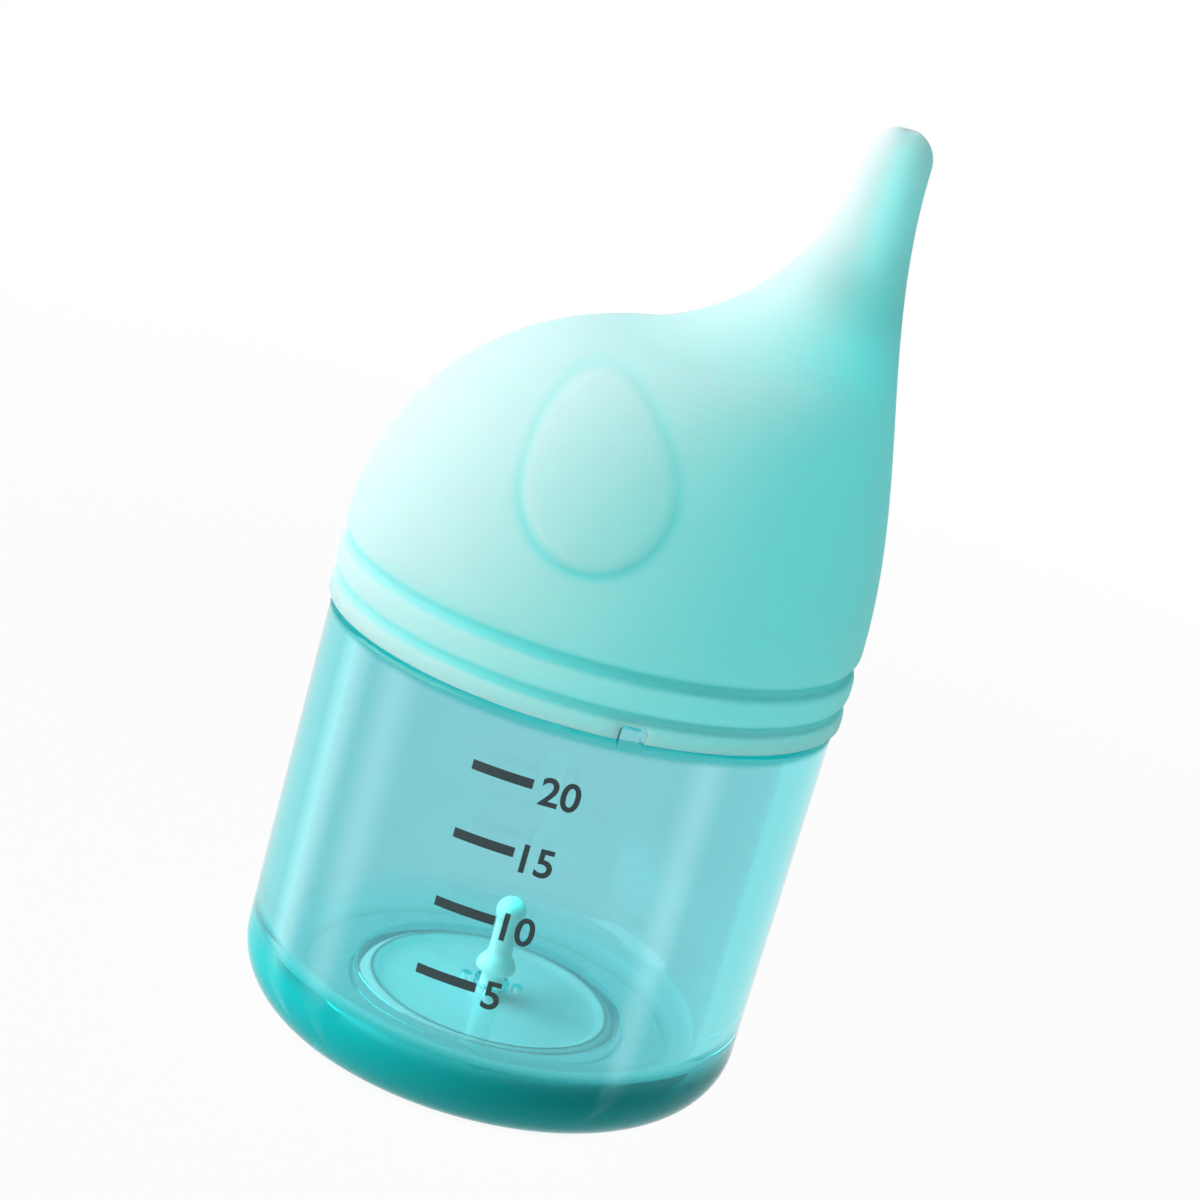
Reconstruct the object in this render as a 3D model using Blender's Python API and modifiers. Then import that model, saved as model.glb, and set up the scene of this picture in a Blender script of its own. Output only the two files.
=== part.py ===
"""Squeeze-bulb nasal aspirator: a silicone head on a clear graduated cup with an exhaust valve in its floor.

Metres, +Z up. The origin is the centre of the cup's foot, and the nozzle stands over +X.
"""

import math

import bmesh
import bpy
from mathutils import Matrix

# Fits between the pieces
FIT_GAP = 0.0003  # clearance wherever two pieces meet
SNAP_BEAD = 0.0002  # how far the neck's bead stands proud, less than FIT_GAP so that the head pulls off

# Collection cup
CUP_RADIUS = 0.0200
CUP_WALL = 0.0028
CUP_SHOULDER = 0.0327  # height of the step that the head stands on
SHOULDER_ROUND = 0.0005
NECK_WALL = 0.0014
NECK_HEIGHT = 0.0060
BASE_ROUND = 0.0050  # outer corner at the foot
RECESS_HEIGHT = 0.0034  # underside of the floor above the foot
RECESS_MARGIN = 0.0004  # room around the exhaust valve's disc
FLOOR_THICKNESS = 0.0014
FLOOR_ROUND = 0.0022  # inside corner between the floor and the wall
VENT_COUNT = 4
VENT_RADIUS = 0.00045
VENT_CIRCLE = 0.0021  # radius of the circle that the vents lie on

# Exhaust valve: an umbrella under the floor, held by a barbed stem
VALVE_RADIUS = 0.0107
VALVE_THICKNESS = 0.0020
VALVE_EDGE_ROUND = 0.0012
VALVE_RIM_WIDTH = 0.0017  # sealing rim round the dished top
VALVE_DISH = 0.0005
VALVE_LIFT = 0.0006  # travel until the barb meets the floor
STEM_RADIUS = 0.00095
BARB_RADIUS = 0.0016  # bulge that holds the stem above the floor
BARB_LENGTH = 0.0014
TAIL_HEIGHT = 0.0072  # top of the pull tail above the floor
KNOB_RADIUS = 0.0012  # round end of the tail

# Silicone head, heights above its lower lip
HEAD_PROUD = 0.0004  # head's radius beyond the cup's
HEAD_WALL = 0.0020
HEAD_HEIGHT = 0.04475  # to the top of the rounded tip, before its bore
DOME_CENTRE = 0.0055
FLARE_RADIUS = 0.0180  # hollow curve from the dome into the nozzle
NOZZLE_OFFSET = 0.01226
NOZZLE_RADIUS = 0.00243
NOZZLE_BORE = 0.0006
LOWER_CREASE = 0.0018
UPPER_CREASE = 0.0047
CREASE_DEPTH = 0.0005
CREASE_WIDTH = 0.0010
LIP_ROUND = 0.0005
PAD_RADIUS = 0.00515  # round end of the drop-shaped thumb pads
PAD_REACH = 0.0022  # how much further out the drop's point is
PAD_TAPER = math.radians(38)  # turn from the point over which that reach runs out
PAD_TILT = math.radians(17)
PAD_X = -0.0022  # centre of the round end
PAD_Z = 0.01635
PAD_PROUD = 0.00035
PAD_ROOT = 0.0006  # how deep the pads run into the wall

# Duckbill valve, in a pocket at the root of the nozzle
POCKET_BELOW_TIP = 0.0114  # ledge over the pocket
POCKET_RADIUS = 0.0026
POCKET_HEIGHT = 0.0034
POCKET_LIP_HEIGHT = 0.0006
POCKET_LIP = 0.0005  # how far the lip reaches in under the flange
FLANGE_HEIGHT = 0.0012
DUCKBILL_WALL = 0.0006
BILL_LENGTH = 0.0034
BILL_THICKNESS = 0.0012
BILL_SLIT = 0.0003

# Facets
HEAD_SEGMENTS = 48
CUP_SEGMENTS = 48
VALVE_SEGMENTS = 32
DUCKBILL_SEGMENTS = 24
VENT_SEGMENTS = 12
PAD_STEPS = 28
DOME_STEPS = 11
FLARE_STEPS = 9
CORNER_STEPS = 4

# Sizes that follow from the ones above
CUP_BORE = CUP_RADIUS - CUP_WALL
NECK_RADIUS = CUP_BORE + NECK_WALL
NECK_TOP = CUP_SHOULDER + NECK_HEIGHT
FLOOR_TOP = RECESS_HEIGHT + FLOOR_THICKNESS
RECESS_RADIUS = VALVE_RADIUS + RECESS_MARGIN
STEM_HOLE = STEM_RADIUS + FIT_GAP
HEAD_RADIUS = CUP_RADIUS + HEAD_PROUD
HEAD_SEAT = CUP_SHOULDER + FIT_GAP
SKIRT_BORE = NECK_RADIUS + FIT_GAP
TIP_CENTRE = HEAD_HEIGHT - NOZZLE_RADIUS
FLARE_X = NOZZLE_OFFSET - NOZZLE_RADIUS - FLARE_RADIUS
FLARE_CENTRE = DOME_CENTRE + math.sqrt((HEAD_RADIUS + FLARE_RADIUS) ** 2 - FLARE_X**2)
MEETING_ANGLE = math.atan2(FLARE_CENTRE - DOME_CENTRE, -FLARE_X)  # where the dome's arc meets the flare's
POCKET_LEDGE = HEAD_HEIGHT - POCKET_BELOW_TIP
POCKET_FOOT = POCKET_LEDGE - POCKET_HEIGHT
CAVITY_TOP = POCKET_FOOT - POCKET_LIP_HEIGHT
POCKET_MOUTH = POCKET_RADIUS - POCKET_LIP
DUCKBILL_RADIUS = POCKET_MOUTH - FIT_GAP


# Scene helpers


def clear_scene():
    for obj in list(bpy.data.objects):
        bpy.data.objects.remove(obj, do_unlink=True)


def new_collection(name):
    collection = bpy.data.collections.new(name)
    bpy.context.scene.collection.children.link(collection)
    return collection


def new_empty(name, collection, height):
    empty = bpy.data.objects.new(name, None)
    empty.location = (0, 0, height)
    collection.objects.link(empty)
    return empty


def new_object(name, data, collection, parent=None, place=(0, 0, 0)):
    obj = bpy.data.objects.new(name, data)
    obj.parent = parent
    obj.location = place
    collection.objects.link(obj)
    return obj


def as_cutter(obj):
    obj.hide_render = True
    obj.display_type = "WIRE"
    return obj


def add_boolean(obj, other, operation):
    boolean = obj.modifiers.new(other.name, "BOOLEAN")
    boolean.operation = operation
    boolean.object = other


def new_material(name, colour, roughness, transmission=0.0):
    material = bpy.data.materials.new(name)
    material.use_nodes = True
    shader = material.node_tree.nodes["Principled BSDF"]
    shader.inputs["Base Color"].default_value = (*colour, 1.0)
    shader.inputs["Roughness"].default_value = roughness
    shader.inputs["Metallic"].default_value = 0.0
    shader.inputs["Transmission Weight"].default_value = transmission
    return material


# Outlines and solids


def arc(centre, radius, start, end, steps):
    """Points on a circle, from one angle in degrees to another."""
    angles = [math.radians(start + (end - start) * i / steps) for i in range(steps + 1)]
    return [(centre[0] + radius * math.cos(a), centre[1] + radius * math.sin(a)) for a in angles]


def turned(name, profile, segments, closed, collection, parent=None):
    """A profile in XZ turned about Z. It runs down its outer side and may start and end on the axis."""
    edges = [(i, i + 1) for i in range(len(profile) - 1)]
    if closed:
        edges.append((len(profile) - 1, 0))
    mesh = bpy.data.meshes.new(name)
    mesh.from_pydata([(x, 0, z) for x, z in profile], edges, [])
    obj = new_object(name, mesh, collection, parent)
    screw = obj.modifiers.new("Turn", "SCREW")
    screw.axis = "Z"
    screw.steps = segments
    screw.render_steps = segments
    screw.use_merge_vertices = True
    screw.merge_threshold = 1e-6
    screw.use_smooth_shade = True
    return obj


def lofted(name, rings, segments):
    """A closed skin over rings given as (centre x, half width x, half width y, height), last to first."""
    bm = bmesh.new()
    loops = []
    for x, half_x, half_y, z in rings:
        place = Matrix.Translation((x, 0, z)) @ Matrix.Diagonal((half_x, half_y, 1, 1))
        loops.append(bmesh.ops.create_circle(bm, segments=segments, radius=1.0, matrix=place)["verts"])
    for lower, upper in zip(loops, loops[1:] + loops[:1]):
        for i in range(segments):
            bm.faces.new((lower[i - 1], lower[i], upper[i], upper[i - 1])).smooth = True
    bmesh.ops.recalc_face_normals(bm, faces=bm.faces)
    mesh = bpy.data.meshes.new(name)
    bm.to_mesh(mesh)
    bm.free()
    mesh.set_sharp_from_angle(angle=math.radians(40))
    return mesh


def prism(name, outline, depth, collection):
    """A closed outline in XZ, drawn as a flat curve and thickened along Y, as a mesh for a Boolean."""
    curve = bpy.data.curves.new(name, "CURVE")
    curve.dimensions = "2D"
    curve.fill_mode = "BOTH"
    curve.extrude = depth / 2
    spline = curve.splines.new("POLY")
    spline.points.add(len(outline) - 1)
    for point, (x, z) in zip(spline.points, outline):
        point.co = (x, z, 0, 1)
    spline.use_cyclic_u = True
    drawn = new_object(name + "_outline", curve, collection)
    drawn.rotation_euler = (math.pi / 2, 0, 0)
    bpy.context.view_layer.update()
    evaluated = drawn.evaluated_get(bpy.context.evaluated_depsgraph_get())
    mesh = bpy.data.meshes.new_from_object(evaluated)
    mesh.transform(drawn.matrix_world)
    bpy.data.objects.remove(drawn)
    bm = bmesh.new()
    bm.from_mesh(mesh)
    bmesh.ops.remove_doubles(bm, verts=bm.verts, dist=1e-7)
    bmesh.ops.recalc_face_normals(bm, faces=bm.faces)
    bm.to_mesh(mesh)
    bm.free()
    return as_cutter(new_object(name, mesh, collection))


# Collection cup


def cup_profile():
    """Section of the cup from the neck's top, down the outside, across the foot and up the inside."""
    bead = CUP_SHOULDER + NECK_HEIGHT / 2
    rim_round = NECK_WALL / 3
    shoulder = (CUP_RADIUS - SHOULDER_ROUND, CUP_SHOULDER - SHOULDER_ROUND)
    floor_corner = (CUP_BORE - FLOOR_ROUND, FLOOR_TOP + FLOOR_ROUND)
    profile = arc((NECK_RADIUS - rim_round, NECK_TOP - rim_round), rim_round, 90, 0, CORNER_STEPS)
    profile += [
        (NECK_RADIUS, bead + 2 * SNAP_BEAD),
        (NECK_RADIUS + SNAP_BEAD, bead),
        (NECK_RADIUS, bead - 2 * SNAP_BEAD),
        (NECK_RADIUS, CUP_SHOULDER),
    ]
    profile += arc(shoulder, SHOULDER_ROUND, 90, 0, CORNER_STEPS)
    profile += arc((CUP_RADIUS - BASE_ROUND, BASE_ROUND), BASE_ROUND, 0, -90, 2 * CORNER_STEPS)
    profile += [
        (RECESS_RADIUS, 0),
        (RECESS_RADIUS, RECESS_HEIGHT),
        (STEM_HOLE, RECESS_HEIGHT),
        (STEM_HOLE, FLOOR_TOP),
    ]
    profile += arc(floor_corner, FLOOR_ROUND, -90, 0, CORNER_STEPS)
    profile += arc((CUP_BORE + rim_round, NECK_TOP - rim_round), rim_round, 180, 90, CORNER_STEPS)
    return profile


def floor_vents(cutters):
    """The ring of vents through the floor, over the exhaust valve's disc."""
    bm = bmesh.new()
    for i in range(VENT_COUNT):
        angle = 2 * math.pi * i / VENT_COUNT
        place = (VENT_CIRCLE * math.cos(angle), VENT_CIRCLE * math.sin(angle), RECESS_HEIGHT + FLOOR_THICKNESS / 2)
        bmesh.ops.create_cone(
            bm,
            cap_ends=True,
            segments=VENT_SEGMENTS,
            radius1=VENT_RADIUS,
            radius2=VENT_RADIUS,
            depth=2 * FLOOR_THICKNESS,
            matrix=Matrix.Translation(place),
        )
    mesh = bpy.data.meshes.new("floor_vents")
    bm.to_mesh(mesh)
    bm.free()
    return as_cutter(new_object("floor_vents", mesh, cutters))


def build_cup(parts, cutters):
    cup = turned("collection_cup", cup_profile(), CUP_SEGMENTS, True, parts)
    add_boolean(cup, floor_vents(cutters), "DIFFERENCE")
    cup.data.materials.append(new_material("clear_tinted_plastic", (0.34, 0.66, 0.68), 0.05, 0.9))


# Exhaust valve, heights above the floor's underside


def valve_profile():
    """Half section from the tail's knob, down the stem and round the disc to the middle of its underside."""
    seal = -FIT_GAP
    dish = seal - VALVE_DISH
    underside = seal - VALVE_THICKNESS
    rim = VALVE_RADIUS - VALVE_RIM_WIDTH
    barb_foot = FLOOR_THICKNESS + FIT_GAP + VALVE_LIFT
    knob = FLOOR_THICKNESS + TAIL_HEIGHT - KNOB_RADIUS
    turn = math.degrees(math.acos(STEM_RADIUS / KNOB_RADIUS))
    profile = arc((0, knob), KNOB_RADIUS, 90, -turn, 2 * CORNER_STEPS)
    profile += [
        (STEM_RADIUS, barb_foot + BARB_LENGTH),
        (BARB_RADIUS, barb_foot + BARB_LENGTH / 3),
        (BARB_RADIUS, barb_foot),
        (STEM_RADIUS, barb_foot),
        (STEM_RADIUS, dish),
        (rim, dish),
        (rim + VALVE_DISH, seal),
    ]
    edge = (VALVE_RADIUS - VALVE_EDGE_ROUND, seal - VALVE_EDGE_ROUND)
    profile += arc(edge, VALVE_EDGE_ROUND, 90, 0, CORNER_STEPS)
    profile += [(VALVE_RADIUS - VALVE_EDGE_ROUND, underside), (0, underside)]
    return profile


def build_exhaust_valve(parts, seat):
    valve = turned("exhaust_valve", valve_profile(), VALVE_SEGMENTS, False, parts, seat)
    valve.data.materials.append(new_material("valve_silicone", (0.16, 0.68, 0.65), 0.45))


# Silicone head


def head_sides(z, inset=0.0):
    """Left and right X of the head's wall at a height, moved inwards by inset.

    The left side is the dome's arc and the flare's hollow arc, tangent to each other.
    The right side eases from the skirt to the nozzle.
    """
    dome = HEAD_RADIUS - inset
    flare = FLARE_RADIUS + inset
    if z <= DOME_CENTRE:
        left = -dome
    elif z <= DOME_CENTRE + dome * math.sin(MEETING_ANGLE):
        left = -math.sqrt(dome**2 - (z - DOME_CENTRE) ** 2)
    else:
        left = FLARE_X + math.sqrt(flare**2 - min(z - FLARE_CENTRE, 0) ** 2)
    climb = min(max((z - DOME_CENTRE) / (TIP_CENTRE - DOME_CENTRE), 0), 1)
    nozzle = NOZZLE_OFFSET + NOZZLE_RADIUS
    right = nozzle + (HEAD_RADIUS - nozzle) * (1 + math.cos(math.pi * climb)) / 2 - inset
    return left, right


def head_heights(end, inset=0.0):
    """Heights at equal turns up the dome's arc, and on up the flare's arc to end."""
    dome = HEAD_RADIUS - inset
    flare = FLARE_RADIUS + inset
    last = math.asin(max(FLARE_CENTRE - end, 0) / flare)
    heights = [DOME_CENTRE + dome * math.sin(MEETING_ANGLE * i / DOME_STEPS) for i in range(1, DOME_STEPS + 1)]
    for i in range(1, FLARE_STEPS):
        angle = MEETING_ANGLE + (last - MEETING_ANGLE) * i / FLARE_STEPS
        heights.append(FLARE_CENTRE - flare * math.sin(angle))
    return [z for z in heights if z < end] + [end]


def ring_between(left, right, z):
    half = (right - left) / 2
    return ((left + right) / 2, half, half, z)


def round_ring(x, radius, z):
    return (x, radius, radius, z)


def wall_ring(z, inset=0.0):
    return ring_between(*head_sides(z, inset), z)


def cavity_ring(z):
    """Inside of the wall, kept wide enough for the mouth of the duckbill's pocket."""
    left, right = head_sides(z, HEAD_WALL)
    clear = POCKET_MOUTH + FIT_GAP
    return ring_between(min(left, pocket_x() - clear), max(right, pocket_x() + clear), z)


def pocket_x():
    """Middle of the nozzle's root at the pocket's ledge."""
    return wall_ring(POCKET_LEDGE)[0]


def skirt_rings():
    """Lip, two creases and the band between them, at the foot of the head."""
    rings = [round_ring(0, HEAD_RADIUS - LIP_ROUND, 0), round_ring(0, HEAD_RADIUS, LIP_ROUND)]
    for crease in (LOWER_CREASE, UPPER_CREASE):
        for across, depth in ((-0.5, 0), (-0.2, 0.8), (0, 1), (0.2, 0.8), (0.5, 0)):
            rings.append(round_ring(0, HEAD_RADIUS - CREASE_DEPTH * depth, crease + CREASE_WIDTH * across))
    return rings


def head_rings():
    """The whole shell: up the outside, over the tip, down the bore and the pocket, and down the inside."""
    rings = skirt_rings()
    rings += [wall_ring(z) for z in head_heights(TIP_CENTRE) if z > UPPER_CREASE + CREASE_WIDTH]
    x, tip_radius, _, _ = rings[-1]
    mouth = math.degrees(math.acos(NOZZLE_BORE / tip_radius))
    rings += [round_ring(x, r, z) for r, z in arc((0, TIP_CENTRE), tip_radius, 0, mouth, CORNER_STEPS)[1:]]
    rings += [round_ring(x, NOZZLE_BORE, POCKET_LEDGE)]
    rings += [round_ring(pocket_x(), POCKET_RADIUS, z) for z in (POCKET_LEDGE, POCKET_FOOT)]
    rings += [round_ring(pocket_x(), POCKET_MOUTH, z) for z in (POCKET_FOOT, CAVITY_TOP)]
    cavity = [z for z in head_heights(CAVITY_TOP, HEAD_WALL) if z > NECK_HEIGHT + HEAD_WALL / 2]
    rings += [cavity_ring(z) for z in reversed([NECK_HEIGHT] + cavity)]
    rings += [round_ring(0, SKIRT_BORE, z) for z in (NECK_HEIGHT, 0)]
    return rings


def pad_outline():
    """A drop: a circle that reaches further out towards its blunt point, leaning to the left."""
    drop = []
    for i in range(PAD_STEPS):
        angle = 2 * math.pi * i / PAD_STEPS
        from_point = min(angle, 2 * math.pi - angle)
        radius = PAD_RADIUS + PAD_REACH * math.exp(-((from_point / PAD_TAPER) ** 2))
        turned_by = angle - PAD_TILT
        drop.append((PAD_X + radius * math.sin(turned_by), PAD_Z + radius * math.cos(turned_by)))
    return drop


def thumb_pads(cutters, seat):
    """The drop-shaped pads, front and back: a band just proud of the dome, cut to the drop."""
    low = PAD_Z - 1.5 * PAD_RADIUS
    high = PAD_Z + 1.5 * (PAD_RADIUS + PAD_REACH)
    heights = [z for z in head_heights(TIP_CENTRE) if low < z < high]
    band = [wall_ring(z, -PAD_PROUD) for z in heights]
    band += [wall_ring(z, PAD_ROOT) for z in reversed(heights)]
    pads = new_object("thumb_pads", lofted("thumb_pads", band, HEAD_SEGMENTS), cutters, seat)
    drop = prism("drop_outline", pad_outline(), 4 * HEAD_RADIUS, cutters)
    drop.parent = seat
    add_boolean(pads, drop, "INTERSECT")
    return as_cutter(pads)


def build_head(parts, cutters, seat):
    head = new_object("silicone_head", lofted("silicone_head", head_rings(), HEAD_SEGMENTS), parts, seat)
    add_boolean(head, thumb_pads(cutters, seat), "UNION")
    head.data.materials.append(new_material("head_silicone", (0.26, 0.76, 0.72), 0.5))


# Duckbill valve, heights above the pocket's ledge


def duckbill_rings():
    """Up the outside of the bill, sleeve and flange, and down through the passage to the slit."""
    flange_top = -FIT_GAP
    flange_foot = flange_top - FLANGE_HEIGHT
    flange = POCKET_RADIUS - FIT_GAP
    sleeve_foot = CAVITY_TOP - POCKET_LEDGE
    bill_foot = sleeve_foot - BILL_LENGTH
    passage = DUCKBILL_RADIUS - DUCKBILL_WALL
    return [
        (0, DUCKBILL_RADIUS, BILL_THICKNESS / 2, bill_foot),
        round_ring(0, DUCKBILL_RADIUS, sleeve_foot),
        round_ring(0, DUCKBILL_RADIUS, flange_foot),
        round_ring(0, flange, flange_foot),
        round_ring(0, flange, flange_top),
        round_ring(0, passage, flange_top),
        round_ring(0, passage, sleeve_foot),
        (0, passage, BILL_SLIT / 2, bill_foot),
    ]


def build_duckbill(parts, seat):
    mesh = lofted("duckbill_valve", duckbill_rings(), DUCKBILL_SEGMENTS)
    duckbill = new_object("duckbill_valve", mesh, parts, seat, (pocket_x(), 0, POCKET_LEDGE))
    duckbill.data.materials.append(new_material("duckbill_silicone", (0.80, 0.90, 0.89), 0.45))


def main():
    clear_scene()
    parts = new_collection("nasal_aspirator")
    cutters = new_collection("cutters")
    build_cup(parts, cutters)
    build_exhaust_valve(parts, new_empty("valve_seat", parts, RECESS_HEIGHT))
    head_seat = new_empty("head_seat", parts, HEAD_SEAT)
    build_head(parts, cutters, head_seat)
    build_duckbill(parts, head_seat)


main()
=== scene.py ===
import math

import bmesh
import bpy
from mathutils import Matrix, Quaternion, Vector


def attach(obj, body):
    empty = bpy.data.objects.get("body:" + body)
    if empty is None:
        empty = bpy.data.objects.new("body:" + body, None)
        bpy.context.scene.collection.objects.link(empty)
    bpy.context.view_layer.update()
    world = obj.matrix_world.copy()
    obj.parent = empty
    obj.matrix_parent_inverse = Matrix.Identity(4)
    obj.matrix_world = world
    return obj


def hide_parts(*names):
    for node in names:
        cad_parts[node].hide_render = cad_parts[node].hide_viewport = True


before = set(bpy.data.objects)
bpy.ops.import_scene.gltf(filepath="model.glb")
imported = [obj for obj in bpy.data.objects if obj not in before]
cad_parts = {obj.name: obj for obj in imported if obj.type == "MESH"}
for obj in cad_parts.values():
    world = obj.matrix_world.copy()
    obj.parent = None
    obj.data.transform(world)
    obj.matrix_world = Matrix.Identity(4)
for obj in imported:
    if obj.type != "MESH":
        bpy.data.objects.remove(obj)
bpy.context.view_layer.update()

scene = bpy.context.scene
scene.view_settings.view_transform = "Standard"
scene.cycles.max_bounces, scene.cycles.diffuse_bounces = 32, 8  # light passes many walls here
scene.cycles.glossy_bounces, scene.cycles.transmission_bounces = 16, 24
mm = 0.001  # pieces are shaped in millimetres and scaled when they are finished


class Wire:  # one output of a node, so that shader maths reads as sums
    def __init__(self, shade, socket):
        self.shade, self.socket = shade, socket

    def sum(self, operation, first, second):
        return self.shade.node("ShaderNodeMath", {"operation": operation}, {0: first, 1: second})

    def __add__(self, other):
        return self.sum("ADD", self, other)

    def __sub__(self, other):
        return self.sum("SUBTRACT", self, other)

    def __rsub__(self, other):
        return self.sum("SUBTRACT", other, self)

    def __mul__(self, other):
        return self.sum("MULTIPLY", self, other)

    def __truediv__(self, other):
        return self.sum("DIVIDE", self, other)

    def __pow__(self, other):
        return self.sum("POWER", self, other)

    __radd__ = __add__
    __rmul__ = __mul__


class Shade:  # the node tree of one finish
    def __init__(self, tree):
        self.tree = tree
        tree.nodes.clear()

    def node(self, kind, settings=None, sockets=None, output=0):
        made = self.tree.nodes.new(kind)
        for key, value in (settings or {}).items():
            setattr(made, key, value)
        for key, value in (sockets or {}).items():
            if isinstance(value, Wire):
                self.tree.links.new(value.socket, made.inputs[key])
            else:
                made.inputs[key].default_value = value
        return Wire(self, made.outputs[output]) if made.outputs else None

    def mixColour(self, factor, first, second):
        return self.node("ShaderNodeMix", {"data_type": "RGBA"}, {0: factor, 6: first, 7: second}, 2)

    def noise(self, where, size, detail=2.0, roughness=0.5):  # size in millimetres
        sockets = {"Vector": where, "Scale": 1 / (size * mm), "Detail": detail, "Roughness": roughness}
        return self.node("ShaderNodeTexNoise", {}, sockets)

    def part(self, vector, axis):
        return self.node("ShaderNodeSeparateXYZ", {}, {0: vector}, axis)

    def ease(self, value, start, end):  # 0 before the start, climbing smoothly to 1 at the end
        settings = {"interpolation_type": "SMOOTHSTEP"}
        return self.node("ShaderNodeMapRange", settings, {0: value, 1: start, 2: end, 3: 0.0, 4: 1.0})

    def band(self, value, centre, half):  # 1 at the centre, falling smoothly to 0 at half away
        away = self.node("ShaderNodeMath", {"operation": "ABSOLUTE"}, {0: value - centre})
        return 1 - self.ease(away, 0.0, half)


def newFinish(name):
    material = bpy.data.materials.new(name)
    material.use_nodes = True
    return material, Shade(material.node_tree)


def arcPoints(centre, radius, start, end, steps):
    turns = [math.radians(start + (end - start) * i / steps) for i in range(steps + 1)]
    return [(centre[0] + radius * math.cos(a), centre[1] + radius * math.sin(a)) for a in turns]


def linePoints(first, last, steps):
    return [tuple(a + (b - a) * i / steps for a, b in zip(first, last)) for i in range(steps + 1)]


def spinProfile(profile, steps, closed):
    # a profile of radius, height and an optional lean in X, turned once round Z
    bm = bmesh.new()
    lean = bm.verts.layers.float.new("lean")
    verts = []
    for point in profile:
        vert = bm.verts.new((point[0], 0, point[1]))
        vert[lean] = point[2] if len(point) > 2 else 0.0
        verts.append(vert)
    pairs = list(zip(verts, verts[1:])) + ([(verts[-1], verts[0])] if closed else [])
    edges = [bm.edges.new(pair) for pair in pairs]
    around = {"cent": (0, 0, 0), "axis": (0, 0, 1), "angle": 2 * math.pi}
    bmesh.ops.spin(bm, geom=verts + edges, steps=steps, use_merge=True, **around)
    for vert in bm.verts:
        vert.co.x += vert[lean]
    bm.verts.layers.float.remove(lean)
    bmesh.ops.remove_doubles(bm, verts=bm.verts, dist=0.0005)
    bmesh.ops.recalc_face_normals(bm, faces=bm.faces)
    return bm


def newPiece(name, bm, finish, body, sharp=40):
    bmesh.ops.scale(bm, vec=(mm, mm, mm), verts=bm.verts)
    for face in bm.faces:
        face.smooth = True
    mesh = bpy.data.meshes.new(name)
    bm.to_mesh(mesh)
    bm.free()
    mesh.set_sharp_from_angle(angle=math.radians(sharp))
    mesh.materials.append(finish)
    piece = bpy.data.objects.new(name, mesh)
    scene.collection.objects.link(piece)
    if body:
        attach(piece, body)
    return piece


def applyCut(piece, bm, operation):  # Boolean with a throw-away cutter
    cutter = newPiece("cutter", bm, None, None)
    change = piece.modifiers.new("cut", "BOOLEAN")
    change.operation, change.object, change.solver = operation, cutter, "EXACT"
    bpy.context.view_layer.update()
    shaped = bpy.data.meshes.new_from_object(piece.evaluated_get(bpy.context.evaluated_depsgraph_get()))
    piece.modifiers.clear()
    piece.data = shaped
    bpy.data.objects.remove(cutter)


# the photograph's view: the object stands upright and the camera is rolled
photoView = {"place": (0.0, -0.19310, 0.08915), "aim": (0.0, 0.0, 0.03708), "roll": 15.9, "lens": 78.0}


def makeCamera():
    lens = bpy.data.cameras.new("photoCamera")
    lens.lens, lens.sensor_width, lens.clip_start = photoView["lens"], 36.0, 0.01
    camera = bpy.data.objects.new("photoCamera", lens)
    look = Vector(photoView["aim"]) - Vector(photoView["place"])
    roll = Quaternion((0, 0, 1), math.radians(photoView["roll"]))
    camera.location = photoView["place"]
    camera.rotation_mode = "QUATERNION"
    camera.rotation_quaternion = look.to_track_quat("-Z", "Y") @ roll
    scene.collection.objects.link(camera)
    scene.camera = camera


makeCamera()
print("camera set")


studio = {
    "ambient": 0.09,  # world light that reaches the object
    "floorWhite": 0.96,  # share of plain white in the floor near the object, the rest shows the shadow
    "underWhite": 0.75,  # the same under the cup
    "floorPaint": (0.42, 0.42, 0.42, 1),
    "paintedCupShadow": (0.05, 0.40, 0.41, 1),  # painted shadow under the cup, tinted as the cup tints the light that falls through it
    "cupEdge": (0.0145, 0.0175),  # where the floor comes out from under the cup
    "floorReach": (0.10, 0.30),  # beyond these distances the floor runs out to plain white
    "floorHalf": 2500,
    "aim": (0, 0, 0.045),
    "lamps": {
        "key": {"place": (-0.48, -0.06, 0.30), "side": 0.60, "power": 5.4, "tint": (1, 1, 1), "mirrored": True},
        "fill": {"place": (0.42, 0.20, 0.12), "side": 0.40, "power": 0.4, "tint": (0.5, 1, 1), "mirrored": False},
    },
    # light that wanders about inside the cup and the silicone: X and height in millimetres, radius, power
    "glow": (
        (-4, 20, 4, 0.0072),
        (3, 47, 4, 0.00042),
        (7, 54, 3, 0.00012),
        (11, 60, 2, 0.00013),
        (11.6, 64.5, 1, 0.000012),
    ),
    "boreGlow": {"x": 12.26, "z": 71.4, "width": 0.8, "height": 10.8, "power": 0.00003},
    "glowTint": (0.02, 1.0, 0.97),
    # bright strips of the floor that only mirror in the cup's wall: start, turn from +Y to -X, half width, gain
    "strips": (
        ((-0.0160, -0.0120), 69.0, 18.0, 1.9),
        ((-0.0122, -0.0158), 100.0, 18.0, 2.0),
        ((0.0108, -0.0168), -111.0, 15.0, 2.0),
    ),
}


def seenDirectly(shade):  # camera, mirror and see-through rays meet plain white
    path = shade.tree.nodes.new("ShaderNodeLightPath")
    rays = [Wire(shade, path.outputs[name]) for name in ("Is Camera Ray", "Is Glossy Ray", "Is Transmission Ray")]
    return rays[0].sum("MAXIMUM", rays[0], rays[1].sum("MAXIMUM", rays[1], rays[2]))


def hangLamp(lamp, place, power, tint, mirrored=False):
    lamp.energy, lamp.color = power, tint
    holder = bpy.data.objects.new(lamp.name, lamp)
    holder.location, holder.visible_camera = place, False
    holder.visible_glossy = holder.visible_transmission = mirrored
    scene.collection.objects.link(holder)
    return holder


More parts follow.
